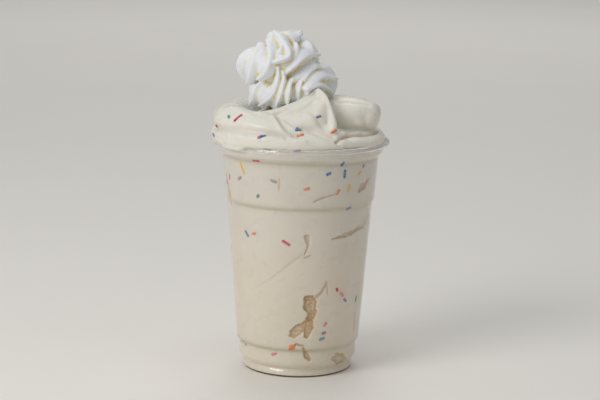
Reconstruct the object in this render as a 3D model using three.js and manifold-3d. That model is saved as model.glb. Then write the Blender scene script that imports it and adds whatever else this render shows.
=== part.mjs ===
// A thick milkshake with coloured sprinkles in a clear plastic cup, heaped over the rim
// and topped with a piped swirl of whipped cream.
// Millimetres, +Z up. The origin is the centre of the ring that the cup stands on.
// +X is to the right and -Y to the front, as the drink is usually looked at.
import * as THREE from "three";
import { mergeVertices } from "three/addons/utils/BufferGeometryUtils.js";
import Module from "manifold-3d";

const wasm = await Module();
wasm.setup();

// Driving dimensions of the cup
const CUP_HEIGHT = 129;
const RIM_RADIUS = 49;
const BEAD_RADIUS = 1.6;
const COLLAR_TOP_RADIUS = 46.2;
const COLLAR_TOP = 126.4;
const COLLAR_MIDDLE_RADIUS = 45.5;
const COLLAR_MIDDLE = 123;
const COLLAR_FOOT_RADIUS = 43.8;
const COLLAR_FOOT = 121;
const UPPER_WALL_TOP_RADIUS = 43.1;
const UPPER_WALL_RADIUS = 41.3;
const SHOULDER = 96.4;
const LOWER_WALL_TOP_RADIUS = 40.3;
const LOWER_WALL_RADIUS = 34.3;
const BASE_STEP = 17;
const BASE_BAND_RADIUS = 32.8;
const BASE_CURVE = 4;
const BASE_CURVE_CENTRE = 9.2;
const GROOVE_RADIUS = 29.7;
const GROOVE = 4.6;
const FOOT_RADIUS = 30.6;
const FOOT_RING_WIDTH = 2.8;
const FOOT_EDGE = 0.6;
const STEP_RISE = 1.6;
const WALL = 0.6;
const FLOOR_HEIGHT = 3.4;

// Driving dimensions of the milkshake
const GAP = 0.3;
const FOLD_GAP = 0.8;
const DOME_RADIUS = 46;
const DOME_BASE = 130.5;
const DOME_RISE = 16;
const POCKET_DEPTH = 3;
const POCKET_OUT = 0.5;
const SPRINKLE_RADIUS = 0.75;
const SPRINKLE_LENGTH = 5.2;
const SPRINKLE_COUNT = 30;
const SPRINKLE_FIELD = 41;
const SPRINKLE_SUNK = 0.25;
const SPRINKLE_STRAY = 0.4;

// Driving dimensions of the whipped cream
const CREAM_START_DEGREES = 60;
const CREAM_DEPTH = 2;
const CREAM_RADIUS = 27;
const ROPE_RIDGES = 4;
const RIDGE_DEPTH = 0.32;
const ROPE_TWISTS = -5;
const SEAM = 0.98;

const ROUND_STEPS = 36;
const SEED = 7;

// Colours, roughness and metalness of the three things
const clearPlastic = new THREE.MeshStandardMaterial({ color: 0xe8eeee, roughness: 0.08, metalness: 0 });
clearPlastic.transparent = true;
clearPlastic.opacity = 0.25;
const shakeSurface = new THREE.MeshStandardMaterial({ color: 0xe9e0cb, roughness: 0.45, metalness: 0 });
const creamSurface = new THREE.MeshStandardMaterial({ color: 0xf6f3ec, roughness: 0.55, metalness: 0 });

// Solids and geometries

function solidOf(geometry) {
  const bare = geometry.clone();
  bare.deleteAttribute("normal");
  bare.deleteAttribute("uv");
  const merged = mergeVertices(bare, 1e-3);
  const corners = merged.index.array;
  const triangles = [];
  for (let i = 0; i < corners.length; i += 3) {
    const [a, b, c] = [corners[i], corners[i + 1], corners[i + 2]];
    if (a !== b && b !== c && a !== c) triangles.push(a, b, c);
  }
  const mesh = new wasm.Mesh({
    numProp: 3,
    vertProperties: merged.attributes.position.array,
    triVerts: new Uint32Array(triangles),
  });
  return new wasm.Manifold(mesh);
}

function geometryOf(solid) {
  const mesh = solid.getMesh();
  const geometry = new THREE.BufferGeometry();
  geometry.setAttribute("position", new THREE.BufferAttribute(mesh.vertProperties, 3));
  geometry.setIndex(new THREE.BufferAttribute(mesh.triVerts, 1));
  geometry.computeVertexNormals();
  return geometry;
}

function joined(solids) {
  return solids.reduce((whole, solid) => whole.add(solid));
}

// The main body alone, with loose scraps dropped and sealed hollows filled.
function mainBody(solid) {
  const pieces = solidOf(geometryOf(solid)).decompose();
  return pieces.reduce((best, piece) => (piece.volume() > best.volume() ? piece : best));
}

// A solid turned about the Z axis from an outline of [radius, height] points.
function turned(outline) {
  const points = outline.map(([radius, height]) => new THREE.Vector2(radius, height));
  return new THREE.LatheGeometry(points, ROUND_STEPS).rotateX(Math.PI / 2);
}

function arc(centreRadius, centreHeight, radius, fromDegrees, toDegrees, steps) {
  return Array.from({ length: steps + 1 }, (_, i) => {
    const angle = THREE.MathUtils.degToRad(THREE.MathUtils.lerp(fromDegrees, toDegrees, i / steps));
    return [centreRadius + radius * Math.cos(angle), centreHeight + radius * Math.sin(angle)];
  });
}

// A closed tube along a curve. placeAt(t) gives the centre and the two section axes at t, from 0 to 1,
// and radiusAt(angle, t) gives the section's reach along them.
function tube(steps, sides, placeAt, radiusAt) {
  const points = [];
  const corners = [];
  for (let i = 0; i <= steps; i++) {
    const t = i / steps;
    const { centre, across, up } = placeAt(t);
    for (let j = 0; j < sides; j++) {
      const angle = (2 * Math.PI * j) / sides;
      const reach = radiusAt(angle, t);
      const point = centre.clone();
      point.addScaledVector(across, reach * Math.cos(angle));
      point.addScaledVector(up, reach * Math.sin(angle));
      points.push(...point.toArray());
    }
  }
  const firstEnd = points.length / 3;
  points.push(...placeAt(0).centre.toArray(), ...placeAt(1).centre.toArray());
  const lastRing = steps * sides;
  for (let j = 0; j < sides; j++) {
    const next = (j + 1) % sides;
    for (let ring = 0; ring < lastRing; ring += sides) {
      corners.push(ring + j, ring + next, ring + sides + j);
      corners.push(ring + next, ring + sides + next, ring + sides + j);
    }
    corners.push(firstEnd, next, j);
    corners.push(firstEnd + 1, lastRing + j, lastRing + next);
  }
  const geometry = new THREE.BufferGeometry();
  geometry.setAttribute("position", new THREE.Float32BufferAttribute(points, 3));
  geometry.setIndex(corners);
  return geometry;
}

// The cup

// The wall's line from the foot to the top of the collar, moved inwards by an inset.
function wallLine(inset) {
  const line = [
    [FOOT_RADIUS, GROOVE - STEP_RISE],
    [GROOVE_RADIUS, GROOVE],
    ...arc(BASE_BAND_RADIUS - BASE_CURVE, BASE_CURVE_CENTRE, BASE_CURVE, -50, 0, 2),
    [BASE_BAND_RADIUS, BASE_STEP - STEP_RISE],
    [LOWER_WALL_RADIUS, BASE_STEP],
    [LOWER_WALL_TOP_RADIUS, SHOULDER - STEP_RISE],
    [UPPER_WALL_RADIUS, SHOULDER],
    [UPPER_WALL_TOP_RADIUS, COLLAR_FOOT - STEP_RISE / 2],
    [COLLAR_FOOT_RADIUS, COLLAR_FOOT],
    [COLLAR_MIDDLE_RADIUS, COLLAR_MIDDLE],
    [COLLAR_TOP_RADIUS, COLLAR_TOP],
  ];
  return line.map(([radius, height]) => [radius - inset, height]);
}

const beadCentre = { radius: RIM_RADIUS - BEAD_RADIUS, height: CUP_HEIGHT - BEAD_RADIUS };

function cupOutline() {
  const ringInside = FOOT_RADIUS - FOOT_RING_WIDTH;
  const underside = FLOOR_HEIGHT - WALL;
  return [
    [0, underside],
    [ringInside - FOOT_EDGE, underside],
    [ringInside - FOOT_EDGE, FOOT_EDGE],
    [ringInside, 0],
    [FOOT_RADIUS - FOOT_EDGE, 0],
    [FOOT_RADIUS, FOOT_EDGE],
    ...wallLine(0),
    ...arc(beadCentre.radius, beadCentre.height, BEAD_RADIUS, -135, 135, 6),
    ...wallLine(WALL).reverse(),
    [FOOT_RADIUS - WALL, FOOT_EDGE + WALL],
    [ringInside, FOOT_EDGE + WALL],
    [ringInside, FLOOR_HEIGHT],
    [0, FLOOR_HEIGHT],
  ];
}

// The milkshake

// The body that fills the cup and rises in a low dome above its rim.
function fillOutline() {
  const inset = WALL + GAP;
  const dome = Array.from({ length: 6 }, (_, i) => {
    const share = 1 - i / 5;
    return [DOME_RADIUS * share, DOME_BASE + DOME_RISE * Math.sqrt(1 - share * share)];
  });
  return [
    [0, FLOOR_HEIGHT + GAP],
    [FOOT_RADIUS - FOOT_RING_WIDTH + GAP, FLOOR_HEIGHT + GAP],
    [FOOT_RADIUS - FOOT_RING_WIDTH + GAP, FOOT_EDGE + inset],
    [FOOT_RADIUS - inset, FOOT_EDGE + inset],
    ...wallLine(inset),
    [COLLAR_TOP_RADIUS - inset, CUP_HEIGHT - BEAD_RADIUS],
    ...dome,
  ];
}

// The space that the folds keep out of: all that lies outside the fill, and the bead of the rim.
function rimClearance() {
  const far = 2 * RIM_RADIUS;
  const inner = wallLine(WALL + FOLD_GAP).filter(([, height]) => height > SHOULDER);
  const [lowest] = inner;
  return [
    [far, lowest[1]],
    [far, beadCentre.height],
    ...arc(beadCentre.radius, beadCentre.height, BEAD_RADIUS + FOLD_GAP, 0, 165, 6),
    ...inner.reverse(),
    [far, lowest[1]],
  ];
}

// A fold of thick milkshake along [x, y, z, half width, half height] places.
function fold(places, steps = 12, sides = 12) {
  const path = new THREE.CatmullRomCurve3(places.map(([x, y, z]) => new THREE.Vector3(x, y, z)));
  const reach = new THREE.CatmullRomCurve3(places.map(([, , , w, h]) => new THREE.Vector3(w, h, 0)));
  const upright = new THREE.Vector3(0, 0, 1);
  const placeAt = (t) => {
    const tangent = path.getTangent(t);
    const size = reach.getPoint(t);
    const across = new THREE.Vector3().crossVectors(upright, tangent).normalize();
    const up = new THREE.Vector3().crossVectors(tangent, across);
    return {
      centre: path.getPoint(t),
      across: across.multiplyScalar(size.x),
      up: up.multiplyScalar(size.y),
    };
  };
  return tube(steps, sides, placeAt, () => 1);
}

// A fold that follows the rim: [degrees, radius, z, half width, half height] places,
// with 180 degrees at the left and 270 at the front.
function foldRoundRim(places, steps = 18, sides = 12) {
  const turnedPlaces = places.map(([degrees, radius, z, w, h]) => {
    const angle = THREE.MathUtils.degToRad(degrees);
    return [radius * Math.cos(angle), radius * Math.sin(angle), z, w, h];
  });
  return fold(turnedPlaces, steps, sides);
}

const folds = [
  // the thick outer roll, from the back round the left to the front
  foldRoundRim([
    [40, 36, 132, 6, 4],
    [80, 36.5, 136, 11, 9],
    [120, 38, 138, 10.5, 9],
    [160, 38.2, 138.8, 10.4, 8.8],
    [195, 38, 138.6, 10.4, 8.8],
    [230, 36.5, 136.5, 10.5, 8.4],
    [262, 35, 133.5, 10, 7],
    [295, 35, 130, 8, 4],
  ]),
  // the lip that hangs over the rim at the left and the front
  foldRoundRim([
    [110, 44.5, 130.6, 2, 1.6],
    [145, 44.6, 132.2, 4, 4.2],
    [180, 44.6, 132.6, 4.3, 4.8],
    [225, 44.6, 132.4, 4.2, 4.6],
    [265, 44.6, 131.2, 3.8, 3.4],
    [300, 44.6, 130.2, 2.4, 1.4],
  ]),
  // the shelf behind the rim at the right
  foldRoundRim([
    [285, 40, 130, 3, 2],
    [320, 40.5, 130.8, 6.5, 4],
    [360, 41, 131, 6.5, 4.5],
    [400, 40, 132, 6, 4],
  ]),
  // the front fold that is drawn up into a peak
  fold([
    [-20, -22, 138, 3, 3],
    [-9, -28, 137.5, 9, 8],
    [4, -29, 138, 10.5, 10],
    [9.5, -24, 144, 9, 9],
    [8.5, -18.5, 151, 6, 6.5],
    [6.4, -16, 158.6, 1, 1],
  ]),
  // the left edge of the peak
  fold([
    [-15, -25, 140, 6, 5],
    [-7, -23, 144.5, 6.5, 6],
    [0, -19.5, 150, 5.5, 5.5],
    [5.4, -16.6, 157, 1.4, 1.4],
  ], 8),
  // the skirt of that fold, down to the rim at the right
  fold([
    [2, -30, 138, 7, 6],
    [13, -32, 135.5, 8.5, 7],
    [22, -31, 132, 6, 4],
    [28, -29, 130, 2, 1.5],
  ]),
  // the rounded lobe at the right
  fold([
    [2, 10, 140, 10, 7],
    [14, 7, 142, 16, 9.5],
    [26, 0, 142, 16.5, 10],
    [36.5, -5, 141.4, 12, 8.4],
    [41.8, -8, 140.8, 5, 4.4],
  ]),
  // the folds at the back
  fold([
    [30, 20, 138, 5, 4],
    [16, 29, 140, 11, 9],
    [-4, 30, 141, 11, 9],
    [-22, 22, 141, 8, 7],
  ]),
];

// Air pockets that the thick shake leaves against the wall: [degrees, z, half width, half height] places.
const pockets = [
  [-79, 43, 3.6, 8.5],
  [-80, 29, 2.6, 6.5],
  [-91, 27.5, 5, 3.6],
  [-75, 14, 2, 6],
  [-42, 9, 5, 4.5],
  [-24, 88, 5, 6],
];

function pocket([degrees, z, halfWidth, halfHeight]) {
  const angle = THREE.MathUtils.degToRad(degrees);
  const share = (z - BASE_STEP) / (SHOULDER - BASE_STEP);
  const radius = Math.min(
    THREE.MathUtils.lerp(LOWER_WALL_RADIUS, LOWER_WALL_TOP_RADIUS, share),
    z < BASE_STEP ? BASE_BAND_RADIUS : RIM_RADIUS,
  );
  const hollow = new THREE.SphereGeometry(1, 10, 8).scale(POCKET_DEPTH, halfWidth, halfHeight);
  const out = radius - WALL - GAP + POCKET_OUT;
  return hollow.rotateZ(angle).translate(out * Math.cos(angle), out * Math.sin(angle), z);
}

// Numbers from 0 to 1 that are the same each time.
function seededNumbers(seed) {
  const factor = 16807;
  const limit = 2147483647;
  let state = seed;
  return () => {
    state = (state * factor) % limit;
    return state / limit;
  };
}

// Sprinkles lying half sunk on the mound, spread as seeds on a sunflower are.
function sprinklesOn(mound, keepClear) {
  const surface = new THREE.Mesh(geometryOf(mound));
  const ray = new THREE.Raycaster();
  const draw = seededNumbers(SEED);
  const goldenAngle = Math.PI * (3 - Math.sqrt(5));
  const sprinkles = [];
  for (let i = 0; i < SPRINKLE_COUNT; i++) {
    const radius = SPRINKLE_FIELD * Math.sqrt((i + 0.5) / SPRINKLE_COUNT);
    const angle = i * goldenAngle + SPRINKLE_STRAY * draw();
    const turn = Math.PI * draw();
    const above = new THREE.Vector3(radius * Math.cos(angle), radius * Math.sin(angle), 2 * CUP_HEIGHT);
    ray.set(above, new THREE.Vector3(0, 0, -1));
    const [hit] = ray.intersectObject(surface);
    if (!hit || keepClear(hit.point)) continue;
    const lying = new THREE.Quaternion().setFromUnitVectors(new THREE.Vector3(0, 0, 1), hit.face.normal);
    const rod = new THREE.CapsuleGeometry(SPRINKLE_RADIUS, SPRINKLE_LENGTH - 2 * SPRINKLE_RADIUS, 1, 6);
    rod.rotateZ(turn).applyQuaternion(lying);
    const middle = hit.point.addScaledVector(hit.face.normal, -SPRINKLE_SUNK);
    sprinkles.push(rod.translate(middle.x, middle.y, middle.z));
  }
  return sprinkles;
}

// The whipped cream

// Stations of the rope from its start at the back up to its tip:
// [turns, coil radius, z, x of the coil's centre, rope radius].
const stations = [
  [0, 13, 148.5, -6, 7.5],
  [0.33, 15, 152, -6, 9.8],
  [0.58, 15, 154.5, -6, 10],
  [0.83, 15, 159.5, -6, 10.4],
  [1.08, 14.5, 164, -8, 10.2],
  [1.33, 14, 168, -12, 10.6],
  [1.58, 12.5, 171, -12, 10],
  [1.83, 11.5, 174, -11.5, 9.6],
  [2.08, 7, 177.5, -10, 8],
  [2.33, 5, 180.5, -9.5, 7.5],
  [2.58, 3, 183, -9, 6],
  [2.85, 6, 187, -7, 2],
];
const coilPlaces = new THREE.CatmullRomCurve3(stations.map(([turns, r, z]) => new THREE.Vector3(turns, r, z)));
const coilSizes = new THREE.CatmullRomCurve3(stations.map(([, , , x, rope]) => new THREE.Vector3(x, rope, 0)));

// What fills the middle of the coil: [x, z, radius, half height].
const cores = [
  [-8, 157, 10, 13],
  [-11.5, 169.5, 8, 9],
  [-9.5, 180, 5.6, 6],
];

// The rope's centre line: a coil that rises, narrows and leans to the left.
class CreamCoil extends THREE.Curve {
  getPoint(t, target = new THREE.Vector3()) {
    const place = coilPlaces.getPoint(t);
    const centreX = coilSizes.getPoint(t).x;
    const angle = THREE.MathUtils.degToRad(CREAM_START_DEGREES + 360 * place.x);
    return target.set(centreX + place.y * Math.cos(angle), CREAM_DEPTH + place.y * Math.sin(angle), place.z);
  }
}

// The rope is piped through a star, so its section has rounded ridges with sharp valleys between them.
function ropeReach(angle, size) {
  const ridge = Math.abs(Math.cos((ROPE_RIDGES * angle) / 2));
  return size * (1 - RIDGE_DEPTH * (1 - ridge));
}

// The rope is made in short lengths, which are joined because each turn presses into the one below.
// Each length starts inside the one before, a little thinner than it, so that no two faces coincide.
function creamSwirl(lengths = 6, stepsEach = 8, sides = 16) {
  const coil = new CreamCoil();
  const steps = lengths * stepsEach;
  const frames = coil.computeFrenetFrames(steps);
  const placeAt = (i) => {
    const turn = (ROPE_TWISTS * 2 * Math.PI * i) / steps;
    const across = frames.normals[i].clone().multiplyScalar(Math.cos(turn));
    across.addScaledVector(frames.binormals[i], Math.sin(turn));
    const up = new THREE.Vector3().crossVectors(frames.tangents[i], across);
    return { centre: coil.getPointAt(i / steps), across, up };
  };
  const sizeAt = (i) => coilSizes.getPoint(coil.getUtoTmapping(i / steps)).y;
  const pieces = Array.from({ length: lengths }, (_, k) => {
    const first = Math.max(0, k * stepsEach - 1);
    const last = (k + 1) * stepsEach;
    const ringAt = (t) => first + Math.round(t * (last - first));
    const thin = (i) => (k > 0 && i <= k * stepsEach ? Math.pow(SEAM, 1 + 4 * (k * stepsEach - i)) : 1);
    const reach = (angle, t) => thin(ringAt(t)) * ropeReach(angle, sizeAt(ringAt(t)));
    return solidOf(tube(last - first, sides, (t) => placeAt(ringAt(t)), reach));
  });
  const fillings = cores.map(([x, z, radius, halfHeight]) => {
    const core = new THREE.SphereGeometry(1, 12, 8).rotateX(Math.PI / 2);
    return solidOf(core.scale(radius, radius, halfHeight).translate(x, CREAM_DEPTH, z));
  });
  return joined([...pieces, ...fillings]);
}

// The whole

const fill = solidOf(turned(fillOutline()));
const moundFolds = joined(folds.map(solidOf)).subtract(solidOf(turned(rimClearance())));
const smoothShake = mainBody(fill.add(moundFolds));

const underCream = (point) => Math.hypot(point.x - stations[0][3], point.y - CREAM_DEPTH)
  < CREAM_RADIUS + SPRINKLE_LENGTH;
const sprinkles = sprinklesOn(smoothShake, underCream).map(solidOf);
const hollows = pockets.map((place) => solidOf(pocket(place)));
const shake = mainBody(joined([smoothShake, ...sprinkles]).subtract(joined(hollows)));

const raisedShake = solidOf(geometryOf(smoothShake).translate(0, 0, GAP));
const cream = mainBody(creamSwirl().subtract(raisedShake).subtract(smoothShake));

function named(name, geometry, material) {
  const mesh = new THREE.Mesh(geometry, material);
  mesh.name = name;
  return mesh;
}

const milkshake = new THREE.Group();
milkshake.add(named("cup", turned(cupOutline()), clearPlastic));
milkshake.add(named("shake", geometryOf(shake), shakeSurface));
milkshake.add(named("whipped_cream", geometryOf(cream), creamSurface));

export default milkshake;
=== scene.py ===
import math
import random

import bmesh
import bpy
import numpy as np
from mathutils import Matrix, Vector, noise
from mathutils.bvhtree import BVHTree


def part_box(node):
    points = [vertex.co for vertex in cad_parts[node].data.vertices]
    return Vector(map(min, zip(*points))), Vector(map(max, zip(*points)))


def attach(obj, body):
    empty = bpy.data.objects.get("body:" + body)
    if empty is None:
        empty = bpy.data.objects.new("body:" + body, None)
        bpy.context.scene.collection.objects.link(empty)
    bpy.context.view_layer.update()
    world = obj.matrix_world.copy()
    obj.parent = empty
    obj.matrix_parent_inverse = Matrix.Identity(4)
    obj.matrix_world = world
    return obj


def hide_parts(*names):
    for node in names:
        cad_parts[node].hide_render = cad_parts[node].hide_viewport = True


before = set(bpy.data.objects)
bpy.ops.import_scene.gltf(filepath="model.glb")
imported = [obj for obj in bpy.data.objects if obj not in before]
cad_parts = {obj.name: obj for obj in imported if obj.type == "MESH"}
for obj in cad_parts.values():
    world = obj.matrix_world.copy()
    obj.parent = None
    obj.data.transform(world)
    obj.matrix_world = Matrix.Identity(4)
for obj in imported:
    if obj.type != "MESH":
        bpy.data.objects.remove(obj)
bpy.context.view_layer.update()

# Sizes are in millimetres, as in the part's source, and a finished mesh is brought to metres.
MM = 0.001

# Sizes of the cup
cup_low, cup_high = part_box("cup")
CUP_HEIGHT = cup_high.z / MM
RIM_RADIUS = cup_high.x / MM
BEAD_RADIUS = 1.6
BEAD_CENTRE = (RIM_RADIUS - BEAD_RADIUS, CUP_HEIGHT - BEAD_RADIUS)
ROLL_WALL = 0.4
FOOT_RADIUS = 30.6
FOOT_RING_WIDTH = 2.8
FOOT_EDGE = 0.6
GROOVE = 4.6
GROOVE_RADIUS = 29.7
BASE_BAND_RADIUS = 32.8
BASE_CURVE = 4
BASE_CURVE_CENTRE = 9.2
BASE_STEP = 17
SHOULDER = 96.4
COLLAR_FOOT = 121
COLLAR_BEND = 123
COLLAR_TOP = 126.4
WALL_FOOT_RADIUS = 34.3
BELOW_SHOULDER_RADIUS = 40.3
SHOULDER_RADIUS = 41.3
BELOW_COLLAR_RADIUS = 43.1
COLLAR_FOOT_RADIUS = 43.8
COLLAR_RADIUS = 45.5
COLLAR_TOP_RADIUS = 46.2
STEP_RISE = 1.6
WALL = 0.6
FLOOR_HEIGHT = 3.4
CORNER_ROUNDING = 0.7
CUP_STEPS = 144

# Sizes of the milkshake
DOME_RADIUS = 46
DOME_BASE = 130.5
DOME_RISE = 8
FILL_TOP = 128.2
FILL_STEPS = 224
FILL_SPACING = 0.95
PLUG_BOTTOM = 116
HEAP_VOXEL = 0.6
SKIN_UNEVEN = 0.4
SKIN_SCALE = 0.09
FOLD_SIDES = 40
FOLD_STEPS_PER_PLACE = 12

# Sizes of the whipped cream
CREAM_START_DEGREES = 60
CREAM_MIDDLE = -9
CREAM_DEPTH = 2
ROPE_RIDGES = 3
RIDGE_DEPTH = 0.46
VALLEY_PLACE = 0.36
RIDGE_SHARPNESS = 1.35
RIDGE_UNEVEN = 0.2
FRONT_REACH = 0.68
FRONT_RIDGE_DEPTH = 0.12
PETAL_SIDES = 28
PETAL_LEAN = 0.45
PETAL_POINT = 0.5
PETAL_LIFT = 3
ROPE_TWISTS = -8.2
ROPE_SIDES = 60
ROPE_STEPS = 550
CREAM_VOXEL = 0.5
VALLEY_SPREAD = 9
VALLEY_DEPTH = 0.042

# Sizes of the sprinkles
WALL_SPRINKLE_RADIUS = 0.98
HEAP_SPRINKLE_RADIUS = 0.8
SPRINKLE_SIDES = 8
WALL_SPRINKLE_SUNK = 0.3
HEAP_SPRINKLE_SUNK = 0.25
HIDDEN_WALL_SPRINKLES = 46
HIDDEN_HEAP_SPRINKLES = 22
HIDDEN_LENGTHS = (3, 5.5)
SEED = 11


# Outlines, tubes and meshes


def lerp(start, end, share):
    return start + (end - start) * share


def smooth_share(value):
    """Rises softly from 0 to 1 as the value does."""
    value = min(max(value, 0.0), 1.0)
    return value * value * (3 - 2 * value)


def arc(centre_radius, centre_height, radius, from_degrees, to_degrees, steps):
    points = []
    for step in range(steps + 1):
        angle = math.radians(lerp(from_degrees, to_degrees, step / steps))
        points.append((centre_radius + radius * math.cos(angle), centre_height + radius * math.sin(angle)))
    return points


def rounded(outline, rounding, steps=4):
    """The outline with each inner corner rounded."""
    points = [outline[0]]
    for before, corner, after in zip(outline, outline[1:], outline[2:]):
        here = Vector(corner)
        back = Vector(before) - here
        ahead = Vector(after) - here
        reach = min(rounding, back.length * 0.45, ahead.length * 0.45)
        start = here + back.normalized() * reach
        end = here + ahead.normalized() * reach
        for step in range(steps + 1):
            share = step / steps
            points.append(tuple(start.lerp(here, share).lerp(here.lerp(end, share), share)))
    points.append(outline[-1])
    return points


def evenly(outline, spacing):
    """The outline with points added so that none are further apart than the spacing."""
    points = [outline[0]]
    for start, end in zip(outline, outline[1:]):
        count = max(1, math.ceil((Vector(end) - Vector(start)).length / spacing))
        for step in range(1, count + 1):
            points.append(tuple(Vector(start).lerp(Vector(end), step / count)))
    return points


def spun(bm, outline, steps):
    """The outline of (radius, height) points turned once about the upright axis."""
    verts = [bm.verts.new((radius, 0, height)) for radius, height in outline]
    edges = [bm.edges.new(pair) for pair in zip(verts, verts[1:])]
    bmesh.ops.spin(
        bm, geom=verts + edges, cent=(0, 0, 0), axis=(0, 0, 1),
        angle=2 * math.pi, steps=steps, use_merge=True,
    )
    bmesh.ops.remove_doubles(bm, verts=bm.verts, dist=0.001)
    bmesh.ops.recalc_face_normals(bm, faces=bm.faces)


def smooth_path(places, steps_per_place):
    """Points on a smooth curve through the places, which may hold sizes as well as coordinates."""
    ends = [places[0]] + list(places) + [places[-1]]
    path = []
    for a, b, c, d in zip(ends, ends[1:], ends[2:], ends[3:]):
        for step in range(steps_per_place):
            t = step / steps_per_place
            place = []
            for p, q, r, s in zip(a, b, c, d):
                bend = (2 * p - 5 * q + 4 * r - s) * t * t
                twist = (3 * q - p - 3 * r + s) * t ** 3
                place.append(0.5 * (2 * q + (r - p) * t + bend + twist))
            path.append(tuple(place))
    path.append(tuple(places[-1]))
    return path


def ring_edges(bm, ring):
    return [bm.edges.get(pair) for pair in zip(ring, ring[1:] + ring[:1])]


def joined(bm, part):
    """Adds one mesh to another."""
    mesh = bpy.data.meshes.new("part")
    part.to_mesh(mesh)
    part.free()
    bm.from_mesh(mesh)
    bpy.data.meshes.remove(mesh)


def tube(bm, rings):
    """A closed tube: a circle laid on the first ring of points is extruded through the others."""
    part = bmesh.new()
    ring = bmesh.ops.create_circle(part, segments=len(rings[0]), radius=1)["verts"]
    first = ring
    for vert, point in zip(ring, rings[0]):
        vert.co = point
    for points in rings[1:]:
        made = bmesh.ops.extrude_edge_only(part, edges=ring_edges(part, ring))["geom"]
        fresh = {item for item in made if isinstance(item, bmesh.types.BMVert)}
        ring = [next(edge.other_vert(vert) for edge in vert.link_edges if edge.other_vert(vert) in fresh)
                for vert in ring]
        for vert, point in zip(ring, points):
            vert.co = point
    bmesh.ops.contextual_create(part, geom=ring_edges(part, first))
    bmesh.ops.contextual_create(part, geom=ring_edges(part, ring))
    joined(bm, part)


def fused(bm, voxel):
    """All the closed shapes in a mesh as one skin of even quads."""
    bmesh.ops.recalc_face_normals(bm, faces=bm.faces)
    mesh = bpy.data.meshes.new("shapes")
    bm.to_mesh(mesh)
    bm.free()
    shapes = bpy.data.objects.new("shapes", mesh)
    bpy.context.scene.collection.objects.link(shapes)
    remesh = shapes.modifiers.new("skin", "REMESH")
    remesh.mode = "VOXEL"
    remesh.voxel_size = voxel
    skin = bmesh.new()
    skin.from_object(shapes, bpy.context.evaluated_depsgraph_get())
    bpy.data.objects.remove(shapes)
    bpy.data.meshes.remove(mesh)
    return skin


def soften(bm, verts, times, factor=0.5):
    for _ in range(times):
        bmesh.ops.smooth_vert(
            bm, verts=verts, factor=factor, use_axis_x=True, use_axis_y=True, use_axis_z=True,
        )


def finished(name, bm, material, node=None):
    """Makes a piece of the mesh, in metres, that rides on the body and may stand for a solid."""
    bmesh.ops.scale(bm, vec=(MM, MM, MM), verts=bm.verts)
    mesh = bpy.data.meshes.new(name)
    bm.to_mesh(mesh)
    bm.free()
    mesh.shade_smooth()
    mesh.materials.append(material)
    piece = bpy.data.objects.new(name, mesh)
    bpy.context.scene.collection.objects.link(piece)
    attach(piece, "root")
    if node:
        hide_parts(node)
    return piece


# Materials


def linear(red, green, blue):
    """A screen colour of 0 to 255 as the light it stands for."""
    def light(part):
        part /= 255
        return part / 12.92 if part <= 0.04045 else ((part + 0.055) / 1.055) ** 2.4
    return (light(red), light(green), light(blue), 1.0)


# Places of the colour sockets on a mix node, whose names are shared by its number sockets
COLOUR_A = 6
COLOUR_B = 7
COLOUR_RESULT = 2


class Finish:
    """A material whose nodes are added one by one."""

    def __init__(self, name):
        self.material = bpy.data.materials.new(name)
        self.material.use_nodes = True
        self.tree = self.material.node_tree
        self.tree.nodes.clear()
        self.output = self.node("ShaderNodeOutputMaterial")
        self.place = self.node("ShaderNodeTexCoord").outputs["Object"]

    def node(self, kind, **settings):
        made = self.tree.nodes.new(kind)
        for key, value in settings.items():
            setattr(made, key, value)
        return made

    def link(self, start, end):
        self.tree.links.new(start, end)

    def shader(self, **sockets):
        made = self.node("ShaderNodeBsdfPrincipled")
        for key, value in sockets.items():
            made.inputs[key.replace("_", " ")].default_value = value
        return made

    def noise(self, scale, detail=3.0, roughness=0.5):
        made = self.node("ShaderNodeTexNoise")
        made.inputs["Scale"].default_value = scale
        made.inputs["Detail"].default_value = detail
        made.inputs["Roughness"].default_value = roughness
        self.link(self.place, made.inputs["Vector"])
        return made.outputs["Fac"]

    def cells(self, scale, feature="F1"):
        made = self.node("ShaderNodeTexVoronoi", feature=feature)
        made.inputs["Scale"].default_value = scale
        self.link(self.place, made.inputs["Vector"])
        return made.outputs["Distance"]

    def attribute(self, name):
        return self.node("ShaderNodeAttribute", attribute_name=name).outputs["Fac"]

    def ramp(self, value, start, end, low, high):
        made = self.node("ShaderNodeMapRange", clamp=True)
        for socket, number in zip(("From Min", "From Max", "To Min", "To Max"), (start, end, low, high)):
            made.inputs[socket].default_value = number
        self.link(value, made.inputs["Value"])
        return made.outputs["Result"]

    def blend(self, share, first, second):
        """A colour between two, each a colour or another node's output."""
        made = self.node("ShaderNodeMix", data_type="RGBA")
        self.link(share, made.inputs["Factor"])
        for index, colour in ((COLOUR_A, first), (COLOUR_B, second)):
            socket = made.inputs[index]
            if isinstance(colour, tuple):
                socket.default_value = colour
            else:
                self.link(colour, socket)
        return made.outputs[COLOUR_RESULT]

    def bump(self, height, distance, strength, below=None):
        made = self.node("ShaderNodeBump")
        made.inputs["Strength"].default_value = strength
        made.inputs["Distance"].default_value = distance
        self.link(height, made.inputs["Height"])
        if below:
            self.link(below, made.inputs["Normal"])
        return made.outputs["Normal"]

    def done(self, shader_output):
        self.link(shader_output, self.output.inputs["Surface"])
        return self.material


IVORY = linear(236, 233, 222)
IVORY_DEEP = linear(231, 226, 211)
# The shake's colours at the wall are a darker, warmer copy of the heap's: painted shade and painted warm
# bounce light. The upper one is painted shade, darker and cooler towards the top.
WALL_IVORY_PAINTED_BOUNCE = linear(228, 219, 203)
WALL_DEEP_IVORY_PAINTED_BOUNCE = linear(224, 213, 194)
WALL_UPPER_PAINTED_SHADE = linear(219, 214, 204)
# Painted olive shade along the steps of the wall, where the step lines fall.
LEDGE_PAINTED_SHADE_OLIVE = linear(196, 188, 164)
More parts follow.
